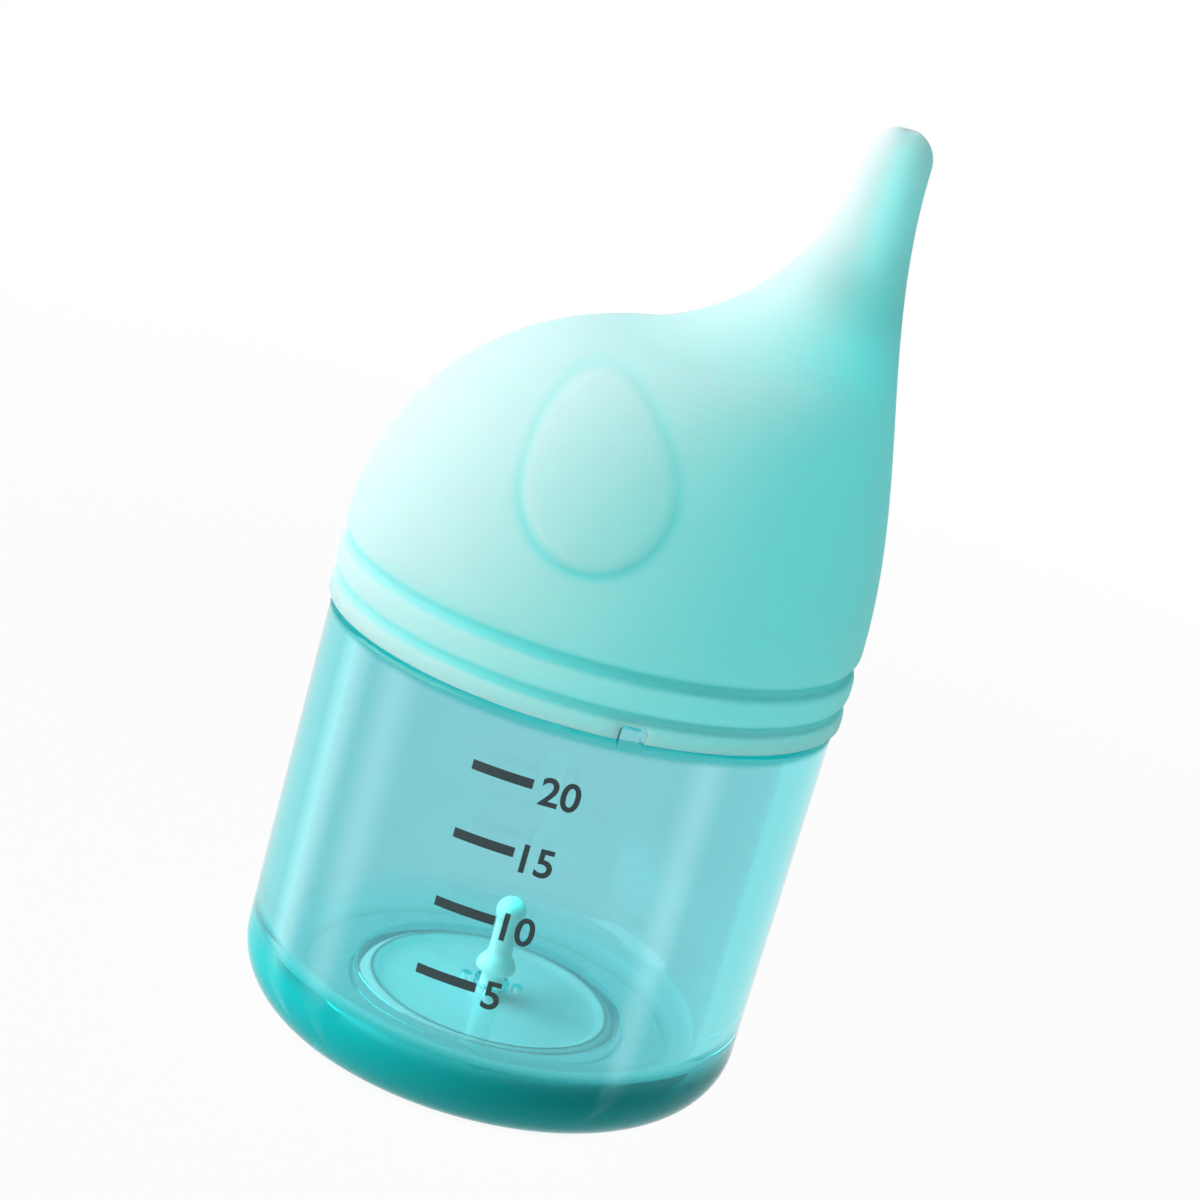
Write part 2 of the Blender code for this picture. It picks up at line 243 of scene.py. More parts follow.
def panelLamp(name, width, height):
    lamp = bpy.data.lights.new(name, "AREA")
    lamp.shape = "RECTANGLE"
    lamp.size, lamp.size_y = width, height
    return lamp


def makeLamps():
    for name, s in studio["lamps"].items():
        panel = panelLamp(name, s["side"], s["side"])
        holder = hangLamp(panel, s["place"], s["power"], s["tint"], s["mirrored"])
        look = Vector(studio["aim"]) - Vector(s["place"])
        holder.rotation_euler = look.to_track_quat("-Z", "Y").to_euler()
    for x, z, radius, power in studio["glow"]:
        lamp = bpy.data.lights.new("glow", "POINT")
        lamp.shadow_soft_size = radius * mm
        hangLamp(lamp, (x * mm, 0, z * mm), power, studio["glowTint"])
    bore = studio["boreGlow"]
    panel = panelLamp("boreGlow", bore["width"] * mm, bore["height"] * mm)
    holder = hangLamp(panel, (bore["x"] * mm, 0, bore["z"] * mm), bore["power"], studio["glowTint"])
    holder.rotation_euler = (math.radians(90), 0, math.radians(-90))  # upright, turned to the shaded side


def makeStudio():
    world = bpy.data.worlds.new("studio")
    scene.world = world
    world.use_nodes = True
    shade = Shade(world.node_tree)
    level = studio["ambient"] + seenDirectly(shade) * (1 - studio["ambient"])
    sky = shade.node("ShaderNodeBackground", {}, {"Color": (1, 1, 1, 1), "Strength": level})
    shade.node("ShaderNodeOutputWorld", {}, {"Surface": sky})

    finish, shade = newFinish("paleFloor")
    where = shade.node("ShaderNodeTexCoord", output="Object")
    away = shade.node("ShaderNodeVectorMath", {"operation": "LENGTH"}, {0: where}, "Value")
    clearOfCup = shade.ease(away, *studio["cupEdge"])
    plain = studio["underWhite"] + clearOfCup * (studio["floorWhite"] - studio["underWhite"])
    plain = plain + shade.ease(away, *studio["floorReach"]) * (1 - studio["floorWhite"])
    glow = 1.0
    depth = shade.node("ShaderNodeLightPath", output="Ray Depth")
    mirrored = shade.node("ShaderNodeLightPath", output="Is Glossy Ray")
    mirrored = mirrored * depth.sum("LESS_THAN", depth, 1.5)  # first mirror only
    for (x, y), turn, half, gain in studio["strips"]:
        side = shade.node("ShaderNodeVectorMath", {"operation": "SUBTRACT"}, {0: where, 1: (x, y, 0)})
        left = 0 - shade.part(side, "X")
        angle = left.sum("ARCTAN2", left, shade.part(side, "Y"))
        glow = glow + mirrored * shade.band(angle, math.radians(turn), math.radians(half)) * gain
    # the floor under the cup takes the painted tinted shadow
    colour = shade.mixColour(clearOfCup, studio["paintedCupShadow"], studio["floorPaint"])
    paint = shade.node("ShaderNodeBsdfDiffuse", {}, {"Color": colour})
    white = shade.node("ShaderNodeEmission", {}, {"Color": (1, 1, 1, 1), "Strength": glow})
    surface = shade.node("ShaderNodeMixShader", {}, {0: seenDirectly(shade) * plain, 1: paint, 2: white})
    shade.node("ShaderNodeOutputMaterial", {}, {"Surface": surface})
    bm = bmesh.new()
    bmesh.ops.create_grid(bm, x_segments=8, y_segments=8, size=studio["floorHalf"])
    newPiece("floor", bm, finish, None)
    makeLamps()


makeStudio()
print("studio set")


# silicone head: heights in millimetres above its lower lip
headShape = {
    "seat": 33.0,
    "radius": 20.4,
    "wall": 2.0,
    "height": 44.75,
    "domeCentre": 5.5,
    "flareRadius": 18.0,
    "nozzleOffset": 12.26,
    "nozzleRadius": 2.43,
    "bore": 0.6,
    "mouthRound": 0.15,
    "skirtBore": 18.9,
    "skirtHeight": 6.0,
    "lipRound": 0.35,
    "creases": ((1.8, 0.55, 0.42, 0.5), (4.7, 0.6, 0.45, 0.65)),  # height, depth, width below and above
    "skirtTop": 6.5,  # where the upper crease has run out into the dome
    "pocketLedge": 33.35,
    "pocketRadius": 2.6,
    "pocketFoot": 29.95,
    "cavityTop": 29.35,
    "pocketMouth": 2.1,
    "pocketWall": 0.3,
    "skirtRows": 52,
    "outerGap": 0.42,
    "innerGap": 0.9,
    "steps": 192,
}
thumbPad = {
    "x": -2.2,
    "z": 16.35,
    "radius": 5.15,
    "reach": 2.2,
    "taper": 38.0,
    "tilt": 17.0,
    "proud": 0.2,
    "rim": 0.12,
    "rimPlace": (-0.4, 0.45),  # distance outside the outline and width
    "groove": 0.16,
    "groovePlace": (0.45, 0.42),
    "slopeHalf": 0.45,
    "faint": 0.25,  # strength at the drop's point
    "fullTurn": 160.0,
    "fade": 1.6,
    "fineReach": 2.4,
    "raiseReach": 3.2,
}
headColour = {
    "pale": (0.53, 0.92, 0.92, 1),
    "deep": (0.48, 0.89, 0.885, 1),
    # painted shade: the deep colour laid into the skirt's creases and the pad's groove
    "crease": (0.06, 0.84, 0.82, 1),
    "creaseShadeHalf": (0.75, 0.9),
    "creaseShadeSides": (-24.0, 6.0),  # from the lit side of the photograph to the shaded one
    "creaseShadeFaint": 0.2,
    "creaseShadeGain": 0.78,
    "grooveShadeShare": 0.6,
    "scatter": (0.035, 1.0, 1.0),
    "scatterScale": 0.15,
}
siliconeIor = 1.41
grainBump = {"Strength": 0.12, "Distance": 0.00006}


def headSides(z, inset=0.0):  # left and right X of the wall at a height
    h = headShape
    flareX = h["nozzleOffset"] - h["nozzleRadius"] - h["flareRadius"]
    flareZ = h["domeCentre"] + math.sqrt((h["radius"] + h["flareRadius"]) ** 2 - flareX**2)
    meet = math.atan2(flareZ - h["domeCentre"], -flareX)
    dome, flare = h["radius"] - inset, h["flareRadius"] + inset
    if z <= h["domeCentre"]:
        left = -dome
    elif z <= h["domeCentre"] + dome * math.sin(meet):
        left = -math.sqrt(dome**2 - (z - h["domeCentre"]) ** 2)
    else:
        left = flareX + math.sqrt(flare**2 - min(z - flareZ, 0) ** 2)
    nozzle = h["nozzleOffset"] + h["nozzleRadius"]
    tip = h["height"] - h["nozzleRadius"]
    climb = min(max((z - h["domeCentre"]) / (tip - h["domeCentre"]), 0), 1)
    right = nozzle + (h["radius"] - nozzle) * (1 + math.cos(math.pi * climb)) / 2 - inset
    return left, right


def headRing(z, inset=0.0):  # radius, height and lean of one section
    left, right = headSides(z, inset)
    return (right - left) / 2, z, (left + right) / 2


def skirtRadius(z):  # a round lip and a band, with a soft crease over each
    h = headShape
    low = max(1 - z / h["lipRound"], 0)
    radius = h["radius"] - h["lipRound"] * (1 - math.sqrt(1 - low**2))
    for height, depth, below, above in h["creases"]:
        radius -= depth * math.exp(-(((z - height) / (below if z < height else above)) ** 2))
    return radius


def spacedHeights(start, end, gap, inset=0.0):  # heights about one gap apart along the left side
    heights, z, feel = [start], start, 0.05
    while z < end - 0.2 * gap:
        slope = (headSides(min(z + feel, end), inset)[0] - headSides(z, inset)[0]) / feel
        z = min(z + gap / math.sqrt(1 + slope**2), end)
        heights.append(z)
    heights[-1] = end
    return heights


def headProfile():
    h = headShape
    tip = h["height"] - h["nozzleRadius"]
    rows = h["skirtRows"]
    profile = [(skirtRadius(z), z, 0.0) for z in [h["skirtTop"] * i / rows for i in range(rows)]]
    profile += [headRing(z) for z in spacedHeights(h["skirtTop"], tip, h["outerGap"])]
    top, tipRadius = h["nozzleOffset"], h["nozzleRadius"]
    lip = h["bore"] + h["mouthRound"]
    drop = math.sqrt((tipRadius - h["mouthRound"]) ** 2 - lip**2)
    turn = math.degrees(math.atan2(drop, lip))
    profile += [(r, z, top) for r, z in arcPoints((0, tip), tipRadius, 0, turn, 12)[1:]]
    profile += [(r, z, top) for r, z in arcPoints((lip, tip + drop), h["mouthRound"], turn, 180, 6)[1:]]
    nest = headRing(h["pocketLedge"])[2]
    profile += [(h["bore"], h["pocketLedge"] + (tip - h["pocketLedge"]) * (1 - i / 8), top) for i in range(9)]
    profile += [(h["pocketRadius"], h[place], nest) for place in ("pocketLedge", "pocketFoot")]
    profile += [(h["pocketMouth"], h[place], nest) for place in ("pocketFoot", "cavityTop")]
    clear = h["pocketMouth"] + h["pocketWall"]
    for z in reversed(spacedHeights(h["skirtHeight"], h["cavityTop"], h["innerGap"], h["wall"])):
        left, right = headSides(z, h["wall"])
        left, right = min(left, nest - clear), max(right, nest + clear)
        profile.append(((right - left) / 2, z, (left + right) / 2))
    profile += [(h["skirtBore"], z, 0.0) for z in (h["skirtHeight"], 4.0, 2.0, 0.3)]
    profile += [(h["skirtBore"] + 0.3, 0.0, 0.0)]
    return profile


def padDistance(x, z):  # how far a point is outside the drop's outline, seen along Y
    p = thumbPad
    tilt, taper = math.radians(p["tilt"]), math.radians(p["taper"])
    dx, dz = x - p["x"], z - p["z"]
    across = abs(dx * math.cos(tilt) + dz * math.sin(tilt))
    along = dz * math.cos(tilt) - dx * math.sin(tilt)
    turn = math.atan2(across, along)  # from the drop's point
    reach = p["reach"] * math.exp(-((turn / taper) ** 2))
    edge = p["radius"] + reach
    slope = 2 * reach * turn / taper**2 / edge
    return (math.hypot(across, along) - edge) / math.sqrt(1 + slope**2), turn


def padRidge(x, z, place):  # 1 along a line round the drop, fainter at its point
    p = thumbPad
    centre, width = place
    away, turn = padDistance(x, z)
    strength = p["faint"] + (1 - p["faint"]) * min(turn / math.radians(p["fullTurn"]), 1) ** p["fade"]
    return strength * math.exp(-(((away - centre) / width) ** 2))


def padRise(x, z):  # a low cushion with a rounded rim and a groove round it
    p = thumbPad
    step = min(max((1 - padDistance(x, z)[0] / p["slopeHalf"]) / 2, 0), 1)
    rise = p["proud"] * step * step * (3 - 2 * step)
    rise += p["rim"] * padRidge(x, z, p["rimPlace"])
    return rise - p["groove"] * padRidge(x, z, p["groovePlace"])


def raisePads(bm):
    # finer faces round each drop, set back on the dome and then raised
    def onSkin(vert, reach):
        radius, _, lean = headRing(vert.co.z)
        return (
            vert.co.z > 8
            and abs(math.hypot(vert.co.x - lean, vert.co.y) - radius) < 0.05
            and padDistance(vert.co.x, vert.co.z)[0] < reach
            and abs(vert.co.y) > 2
        )

    p = thumbPad
    groove = bm.verts.layers.float.new("groove")  # tells the finish where the groove runs
    edges = [edge for edge in bm.edges if all(onSkin(vert, p["fineReach"]) for vert in edge.verts)]
    bmesh.ops.subdivide_edges(bm, edges=edges, cuts=3, use_grid_fill=True)
    skin = [vert for vert in bm.verts if onSkin(vert, p["raiseReach"])]
    for vert in skin:
        radius, _, lean = headRing(vert.co.z)
        out = Vector((vert.co.x - lean, vert.co.y)).normalized() * radius
        vert.co.x, vert.co.y = out.x + lean, out.y
    bm.normal_update()
    for vert in skin:
        x, z = vert.co.x, vert.co.z
        vert[groove] = padRidge(x, z, p["groovePlace"])
        vert.co += vert.normal * padRise(x, z)


def headFinish():
    finish, shade = newFinish("mintSilicone")
    c = headColour
    where = shade.node("ShaderNodeTexCoord", output="Object")
    height, across = (shade.part(where, axis) / mm for axis in "ZX")
    cloud = shade.noise(where, 9.0, 3.0)
    grain = shade.noise(where, 0.16, 3.0, 0.65)
    flow = shade.noise(where, 2.2, 2.0)
    lower, upper = (
        shade.band(height, headShape["seat"] + crease[0], half)
        for crease, half in zip(headShape["creases"], c["creaseShadeHalf"])
    )
    # painted shade in the creases, faint on the lit side towards -X and deep on the shaded side towards +X
    creaseShade = shade.ease(lower + upper, 0.0, 0.8)
    creaseShade = creaseShade * (c["creaseShadeFaint"] + shade.ease(across, *c["creaseShadeSides"]) * c["creaseShadeGain"])
    # painted shade in the pad's groove, laid where the groove attribute says it runs
    inGroove = shade.node("ShaderNodeAttribute", {"attribute_name": "groove"}, output="Fac")
    rough = 0.46 + flow * 0.12 + grain * 0.08
    bump = shade.node("ShaderNodeBump", {}, grainBump | {"Height": grain * 0.6 + flow * 0.8})

    def silicone(colour, gloss, share):
        return shade.node("ShaderNodeBsdfPrincipled", {"subsurface_method": "RANDOM_WALK_SKIN"}, {
            "Base Color": colour,
            "Roughness": rough,
            "IOR": siliconeIor,
            "Specular IOR Level": gloss,
            "Subsurface Weight": share,
            "Subsurface Radius": c["scatter"],
            "Subsurface Scale": c["scatterScale"],
            "Normal": bump,
        })

    skin = silicone(shade.mixColour(cloud, c["deep"], c["pale"]), 0.06, 1.0)
    # the silicone that carries the painted crease shade, without gloss
    creaseShadeSkin = silicone(c["crease"], 0.0, 0.5)
    surface = shade.node("ShaderNodeMixShader", {}, {0: creaseShade + inGroove * c["grooveShadeShare"], 1: skin, 2: creaseShadeSkin})
    shade.node("ShaderNodeOutputMaterial", {}, {"Surface": surface})
    return finish


# small lug on the cup's shoulder that lines the head up, and the notch for it in the lip
liningLug = {
    "width": 1.7,
    "height": 1.0,
    "foot": 32.4,
    "shoulder": 33.0,
    "inside": 18.4,
    "outside": 20.1,
    "azimuth": 13.7,
    "gap": 0.2,
    "round": {"offset": 0.35, "offset_type": "OFFSET", "segments": 3, "profile": 0.5},
}


def lugSolid(gap=0.0):
    lug = liningLug
    low, high = lug["foot"], lug["shoulder"] + lug["height"] + gap
    inside, outside = lug["inside"], lug["outside"] + 4 * gap
    bm = bmesh.new()
    verts = bmesh.ops.create_cube(bm, size=1.0)["verts"]
    bmesh.ops.scale(bm, vec=(lug["width"] + 2 * gap, outside - inside, high - low), verts=verts)
    bmesh.ops.translate(bm, vec=(0, -(inside + outside) / 2, (low + high) / 2), verts=verts)
    topEdges = [edge for edge in bm.edges if all(vert.co.z > lug["shoulder"] for vert in edge.verts)]
    bmesh.ops.bevel(bm, geom=topEdges, affect="EDGES", material=-1, **lug["round"])
    bmesh.ops.recalc_face_normals(bm, faces=bm.faces)
    turn = Matrix.Rotation(math.radians(lug["azimuth"]), 3, "Z")
    bmesh.ops.rotate(bm, cent=(0, 0, 0), matrix=turn, verts=bm.verts)
    return bm


def makeHead():
    bm = spinProfile(headProfile(), headShape["steps"], True)
    raisePads(bm)
    bmesh.ops.recalc_face_normals(bm, faces=bm.faces)
    bmesh.ops.translate(bm, vec=(0, 0, headShape["seat"]), verts=bm.verts)
    head = newPiece("headSkin", bm, headFinish(), "head", 50)
    applyCut(head, lugSolid(liningLug["gap"]), "DIFFERENCE")
    head.data.set_sharp_from_angle(angle=math.radians(50))
    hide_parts("silicone_head")


makeHead()
print("head made")


# clear cup: heights in millimetres above its foot
cupShape = {
    "radius": 20.0,
    "bore": 17.2,
    "shoulder": 32.8,
    "shoulderRound": 0.5,
    "neckRadius": 18.6,
    "neckTop": 38.7,
    "bead": 0.2,
    "rimRound": 0.45,
    "baseRound": 5.0,
    "footRound": 0.35,
    "recessRadius": 11.1,
    "recessHeight": 3.4,
    "recessRound": 0.3,
    "floorTop": 4.8,
    "floorRound": 2.2,
    "stemHole": 1.25,
    "vents": 4,
    "ventRadius": 0.45,
    "ventCircle": 2.1,
    "steps": 160,
}
cupColour = {
    "tint": (0.88, 0.795, 0.827, 1),
    "foot": (0.0, 0.56, 0.57, 1),  # painted shade: an opaque deep-teal coat on the foot stands in for the shaded valve seen through it
    "footShadeShare": 0.96,
    "shoulder": (0.10, 0.66, 0.65, 1),  # painted reflection: a teal coat on the shoulder stands in for the lip seen through it
    "lipReflectionShare": 0.65,
    "absorb": (0.05, 0.965, 0.97, 1),
    "density": 235.0,
    "roughness": 0.02,
    "ior": 1.49,
    # where the painted shade and the painted reflection lie, as heights and as distances from the axis
    "footShadeHeights": (4.8, 8.4),
    "footShadeReach": (14.0, 15.4),
    "outerWall": (17.4, 17.8),
    "underside": (3.0, 3.3),
    "lipReflectionFoot": (31.8, 32.4),
    "lipReflectionTop": (33.0, 33.2),
    "lipReflectionReach": (18.65, 18.8),
}


def cupProfile():
    c = cupShape
    bead = (c["shoulder"] + c["neckTop"]) / 2
    rim = c["rimRound"]
    profile = arcPoints((c["neckRadius"] - rim, c["neckTop"] - rim), rim, 90, 0, 6)
    profile += [(c["neckRadius"] + c["bead"] * math.cos(math.pi * t / 8) ** 2, bead - 0.1 * t) for t in range(-4, 5)]
    profile += linePoints((c["neckRadius"], bead - 1.0), (c["neckRadius"], c["shoulder"] + 0.25), 3)
    profile += arcPoints((c["neckRadius"] + 0.25, c["shoulder"] + 0.25), 0.25, 180, 270, 3)[1:]
    turn = c["shoulderRound"]
    profile += arcPoints((c["radius"] - turn, c["shoulder"] - turn), turn, 90, 0, 12)
    base = c["baseRound"]
    profile += linePoints((c["radius"], c["shoulder"] - turn - 0.6), (c["radius"], base + 0.6), 26)
    profile += arcPoints((c["radius"] - base, base), base, 0, -90, 24)
    foot = c["footRound"]
    profile += arcPoints((c["recessRadius"] + foot, foot), foot, 270, 180, 5)
    corner = c["recessRound"]
    profile += arcPoints((c["recessRadius"] - corner, c["recessHeight"] - corner), corner, 0, 90, 8)
    profile += linePoints((c["recessRadius"] - 2.0, c["recessHeight"]), (c["stemHole"] + 0.2, c["recessHeight"]), 8)
    profile += [(c["stemHole"], c["recessHeight"] + 0.2), (c["stemHole"], c["floorTop"] - 0.2)]
    turn = c["floorRound"]
    profile += linePoints((c["stemHole"] + 0.2, c["floorTop"]), (c["bore"] - turn - 0.5, c["floorTop"]), 10)
    profile += arcPoints((c["bore"] - turn, c["floorTop"] + turn), turn, -90, 0, 14)
    profile += linePoints((c["bore"], c["floorTop"] + turn + 0.5), (c["bore"], c["neckTop"] - rim - 0.3), 26)
    profile += arcPoints((c["bore"] + rim, c["neckTop"] - rim), rim, 180, 90, 6)
    return profile


def ventCutters():
    c = cupShape
    bm = bmesh.new()
    middle = (c["recessHeight"] + c["floorTop"]) / 2
    drill = {"segments": 24, "radius1": c["ventRadius"], "radius2": c["ventRadius"], "depth": 4.0}
    for i in range(c["vents"]):
        turn = 2 * math.pi * i / c["vents"]
        place = (c["ventCircle"] * math.cos(turn), c["ventCircle"] * math.sin(turn), middle)
        bmesh.ops.create_cone(bm, cap_ends=True, matrix=Matrix.Translation(place), **drill)
    return bm


def cupFinish():
    finish, shade = newFinish("clearTealPlastic")
    c = cupColour
    where = shade.node("ShaderNodeTexCoord", output="Object")
    flow = shade.noise(where, 7.0, 2.0)
    fine = shade.noise(where, 0.5, 2.0)
    bump = shade.node("ShaderNodeBump", {}, {"Strength": 0.05, "Distance": 0.0002, "Height": flow})
    height = shade.part(where, "Z") / mm
    flat = shade.node("ShaderNodeVectorMath", {"operation": "MULTIPLY"}, {0: where, 1: (1 / mm, 1 / mm, 0)})
    out = shade.node("ShaderNodeVectorMath", {"operation": "LENGTH"}, {0: flat}, "Value")
    rough = c["roughness"] + flow * 0.02 + fine * 0.01
    body = shade.node("ShaderNodeBsdfPrincipled", {}, {
        "Base Color": c["tint"],
        "Roughness": rough,
        "IOR": c["ior"],
        "Transmission Weight": 1.0,
        "Normal": bump,
    })
    # painted shade: the opaque deep-teal coat for the foot
    foot = shade.node("ShaderNodeBsdfPrincipled", {}, {
        "Base Color": c["foot"],
        "Roughness": rough + 0.06,
        "IOR": c["ior"],
        "Specular IOR Level": 0.05,
        "Normal": bump,
    })
    # painted reflection of the teal lip on the shoulder, lit from behind
    edge = shade.node("ShaderNodeBsdfTranslucent", {}, {"Color": c["shoulder"], "Normal": bump})
    # the painted shade on the foot keeps off the inside of the cup
    front = 1 - shade.node("ShaderNodeNewGeometry", output="Backfacing")
    outer = out.sum("MAXIMUM", shade.ease(out, *c["outerWall"]), 1 - shade.ease(height, *c["underside"]))
    low = (1 - shade.ease(height, *c["footShadeHeights"])) * shade.ease(out, *c["footShadeReach"])
    low = low * outer * front * c["footShadeShare"]
    high = shade.ease(height, *c["lipReflectionFoot"]) * (1 - shade.ease(height, *c["lipReflectionTop"]))
    high = high * shade.ease(out, *c["lipReflectionReach"]) * c["lipReflectionShare"]
    surface = shade.node("ShaderNodeMixShader", {}, {0: low, 1: body, 2: foot})
    surface = shade.node("ShaderNodeMixShader", {}, {0: high, 1: surface, 2: edge})
    depth = shade.node("ShaderNodeVolumeAbsorption", {}, {"Color": c["absorb"], "Density": c["density"]})
    shade.node("ShaderNodeOutputMaterial", {}, {"Surface": surface, "Volume": depth})
    return finish


def makeCup():
    bm = spinProfile(cupProfile(), cupShape["steps"], True)
    cup = newPiece("clearCup", bm, cupFinish(), "cup", 35)
    applyCut(cup, ventCutters(), "DIFFERENCE")
    applyCut(cup, lugSolid(), "UNION")
    cup.data.set_sharp_from_angle(angle=math.radians(35))
    cup.visible_shadow = cup.visible_diffuse = False  # clear plastic lets the light in to the valve and the lip
    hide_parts("collection_cup")


makeCup()
print("cup made")


# exhaust valve: an umbrella under the cup's floor, held by a barbed stem
valveShape = {
    "radius": 10.7,
    "seal": 3.1,
    "dish": 2.6,
    "underside": 1.1,
    "rimInner": 9.0,
    "edgeRound": 1.2,
    "stemRadius": 0.95,
    "barbRadius": 1.6,
    "barbFoot": 5.7,
    "barbLength": 1.4,
    "knobRadius": 1.2,
    "top": 12.0,
    "steps": 96,
}
valveColour = {
    "pale": (0.74, 0.92, 0.90, 1),
    "deep": (0.60, 0.88, 0.86, 1),
    "scatter": (0.3, 1.0, 0.95),
    "scatterScale": 0.002,
}


def valveProfile():
    v = valveShape
    knob = v["top"] - v["knobRadius"]
    turn = math.degrees(math.acos((v["stemRadius"] + 0.02) / v["knobRadius"]))
    profile = arcPoints((0, knob), v["knobRadius"], 90, -turn, 16)
    barbTop = v["barbFoot"] + v["barbLength"]
    profile += linePoints((v["stemRadius"], knob - 1.1), (v["stemRadius"], barbTop + 0.3), 5)
    profile += [(v["stemRadius"] + 0.06, barbTop), (v["barbRadius"] - 0.12, v["barbFoot"] + 0.75)]
    profile += [(v["barbRadius"] - 0.02, v["barbFoot"] + 0.5)]
    profile += arcPoints((v["barbRadius"] - 0.2, v["barbFoot"] + 0.2), 0.2, 0, -90, 4)
    profile += arcPoints((v["stemRadius"] + 0.1, v["barbFoot"] - 0.1), 0.1, 90, 180, 3)
    profile += linePoints((v["stemRadius"], v["barbFoot"] - 0.4), (v["stemRadius"], v["dish"] + 0.4), 5)
    profile += arcPoints((v["stemRadius"] + 0.3, v["dish"] + 0.3), 0.3, 180, 270, 4)
    profile += linePoints((v["stemRadius"] + 0.8, v["dish"]), (v["rimInner"] - 0.3, v["dish"]), 8)
    profile += [(v["rimInner"] + r, v["dish"] + z) for r, z in ((-0.1, 0.03), (0.1, 0.14))]
    profile += [(v["rimInner"] + r, v["seal"] - z) for r, z in ((0.4, 0.12), (0.6, 0.03), (0.8, 0))]
    turn = v["edgeRound"]
    profile += arcPoints((v["radius"] - turn, v["seal"] - turn), turn, 90, 0, 8)
    profile += arcPoints((v["radius"] - 0.6, v["underside"] + 0.6), 0.6, 0, -90, 6)[1:]
    profile += linePoints((v["radius"] - 1.2, v["underside"]), (1.0, v["underside"]), 8) + [(0, v["underside"])]
    return profile


def softFinish(name, c, grainSize):
    finish, shade = newFinish(name)
    where = shade.node("ShaderNodeTexCoord", output="Object")
    cloud = shade.noise(where, 4.0, 3.0)
    grain = shade.noise(where, grainSize, 3.0, 0.6)
    bump = shade.node("ShaderNodeBump", {}, grainBump | {"Height": grain})
    skin = shade.node("ShaderNodeBsdfPrincipled", {}, {
        "Base Color": shade.mixColour(cloud, c["deep"], c["pale"]),
        "Roughness": 0.42 + cloud * 0.1 + grain * 0.06,
        "IOR": siliconeIor,
        "Subsurface Weight": 1.0,
        "Subsurface Radius": c["scatter"],
        "Subsurface Scale": c["scatterScale"],
        "Normal": bump,
    })
    shade.node("ShaderNodeOutputMaterial", {}, {"Surface": skin})
    return finish


def makeValve():
    bm = spinProfile(valveProfile(), valveShape["steps"], False)
    valve = newPiece("umbrellaValve", bm, softFinish("valveSilicone", valveColour, 0.2), "exhaust_valve", 50)
    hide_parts("exhaust_valve")


makeValve()
print("exhaust valve made")


# duckbill valve at the root of the nozzle: a flange, a sleeve and two flat lips
duckbillShape = {
    "flange": 2.3,
    "flangeTop": 33.05,
    "flangeFoot": 31.85,
    "sleeve": 1.8,
    "sleeveFoot": 29.35,
    "billFoot": 25.95,
    "billThickness": 1.2,
    "passage": 1.2,
    "slit": 0.3,
    "steps": 48,
}
duckbillColour = {
    "pale": (0.84, 0.92, 0.91, 1),
    "deep": (0.76, 0.88, 0.87, 1),
    "scatter": (0.8, 1.0, 1.0),
    "scatterScale": 0.0015,
}


def makeDuckbill():
    d = duckbillShape
    profile = [(d["passage"], d["flangeTop"] - 0.1)]
    profile += arcPoints((d["flange"] - 0.2, d["flangeTop"] - 0.2), 0.2, 90, 0, 4)
    profile += arcPoints((d["flange"] - 0.15, d["flangeFoot"] + 0.15), 0.15, 0, -90, 4)
    profile += [(d["sleeve"], d["flangeFoot"])]
    profile += linePoints((d["sleeve"], d["sleeveFoot"]), (d["sleeve"], d["billFoot"]), 10)
    profile += linePoints((d["passage"], d["billFoot"]), (d["passage"], d["sleeveFoot"]), 10)
    bm = spinProfile(profile, d["steps"], True)
    for vert in bm.verts:  # the bill flattens towards its slit
        fall = (d["sleeveFoot"] - vert.co.z) / (d["sleeveFoot"] - d["billFoot"])
        if fall > 0:
            ease = fall * fall * (3 - 2 * fall)
            inside = math.hypot(vert.co.x, vert.co.y) < (d["sleeve"] + d["passage"]) / 2
            thin = d["slit"] / (2 * d["passage"]) if inside else d["billThickness"] / (2 * d["sleeve"])
            vert.co.y *= 1 - ease * (1 - thin)
    bmesh.ops.recalc_face_normals(bm, faces=bm.faces)
    nest = headRing(headShape["pocketLedge"])[2]
    bmesh.ops.translate(bm, vec=(nest, 0, headShape["seat"]), verts=bm.verts)
    duckbill = newPiece("duckbillLips", bm, softFinish("duckbillSilicone", duckbillColour, 0.15), "head", 50)
    duckbill.visible_shadow = duckbill.visible_diffuse = False  # thin lips, the glow goes on through them
    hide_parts("duckbill_valve")


makeDuckbill()
print("duckbill made")


# printed scale: bars and numbers laid on the cup's wall
scalePrint = {
    "steps": ((12.1, "5"), (17.5, "10"), (22.9, "15"), (28.2, "20")),
    "barStart": -5.55,
    "barLength": 4.6,
    "barHeight": 0.74,
    "numberStart": -0.35,
    "numberHeight": 2.2,
    "numberDrop": 0.25,
    "numberBold": 0.018,
    "lift": 0.004,
    "thickness": 0.016,
    "ink": (0.018, 0.046, 0.052, 1),
    "worn": (0.05, 0.105, 0.115, 1),
}


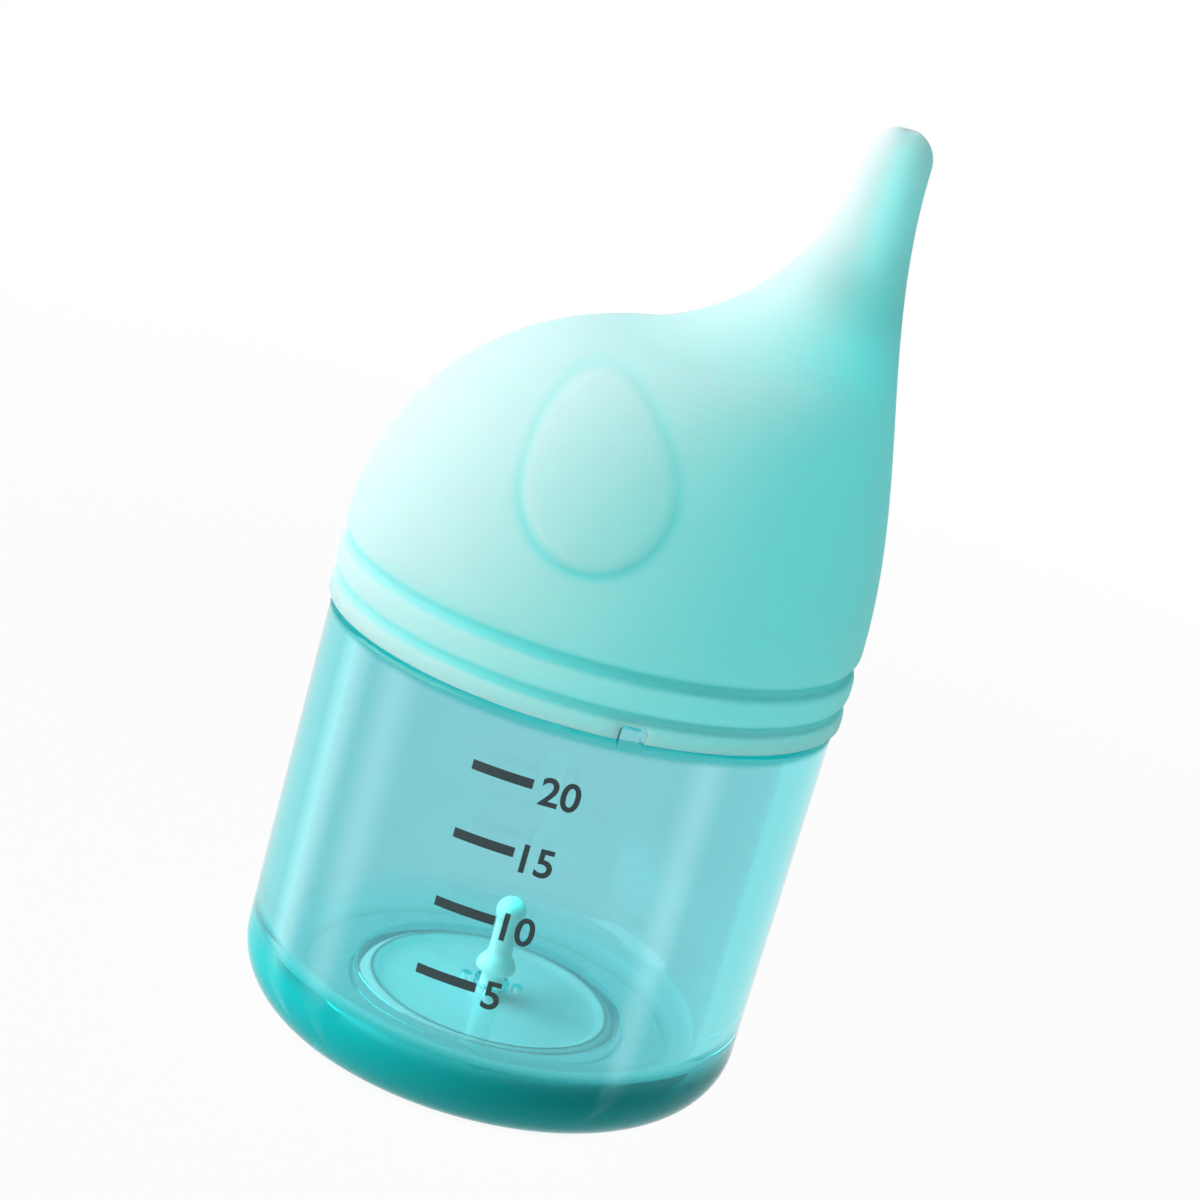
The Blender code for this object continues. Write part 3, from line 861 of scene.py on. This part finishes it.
def numberMesh(text):
    curve = bpy.data.curves.new("number", "FONT")
    curve.body, curve.offset = text, scalePrint["numberBold"]
    drawn = bpy.data.objects.new("number", curve)
    scene.collection.objects.link(drawn)
    bpy.context.view_layer.update()
    mesh = bpy.data.meshes.new_from_object(drawn.evaluated_get(bpy.context.evaluated_depsgraph_get()))
    bpy.data.objects.remove(drawn)
    return mesh


def makeScale():
    p = scalePrint
    bm = bmesh.new()
    for height, text in p["steps"]:
        bar = bmesh.ops.create_grid(bm, x_segments=12, y_segments=1, size=0.5)["verts"]
        bmesh.ops.scale(bm, vec=(p["barLength"], p["barHeight"], 1), verts=bar)
        bmesh.ops.translate(bm, vec=(p["barStart"] + p["barLength"] / 2, height, 0), verts=bar)
        known = set(bm.verts)
        bm.from_mesh(numberMesh(text))
        number = [vert for vert in bm.verts if vert not in known]
        low = min(vert.co.y for vert in number)
        size = p["numberHeight"] / (max(vert.co.y for vert in number) - low)
        left = min(vert.co.x for vert in number)
        for vert in number:
            vert.co.x = (vert.co.x - left) * size + p["numberStart"]
            vert.co.y = (vert.co.y - low) * size + height - p["numberHeight"] / 2 - p["numberDrop"]
    bmesh.ops.recalc_face_normals(bm, faces=bm.faces)
    bmesh.ops.solidify(bm, geom=bm.faces[:], thickness=p["thickness"])
    radius = cupShape["radius"] + p["lift"]
    base = min(vert.co.z for vert in bm.verts)
    for vert in bm.verts:  # wrap the flat print round the wall
        turn = vert.co.x / cupShape["radius"]
        out = radius + vert.co.z - base
        vert.co = (out * math.sin(turn), -out * math.cos(turn), vert.co.y)
    bmesh.ops.recalc_face_normals(bm, faces=bm.faces)
    finish, shade = newFinish("scaleInk")
    where = shade.node("ShaderNodeTexCoord", output="Object")
    speckle = shade.noise(where, 0.35, 4.0, 0.7)
    colour = shade.mixColour(speckle ** 3.0, p["ink"], p["worn"])
    ink = shade.node("ShaderNodeBsdfPrincipled", {}, {"Base Color": colour, "Roughness": 0.35 + speckle * 0.25})
    shade.node("ShaderNodeOutputMaterial", {}, {"Surface": ink})
    newPiece("scalePrint", bm, finish, "cup", 50)


makeScale()
print("scale printed")
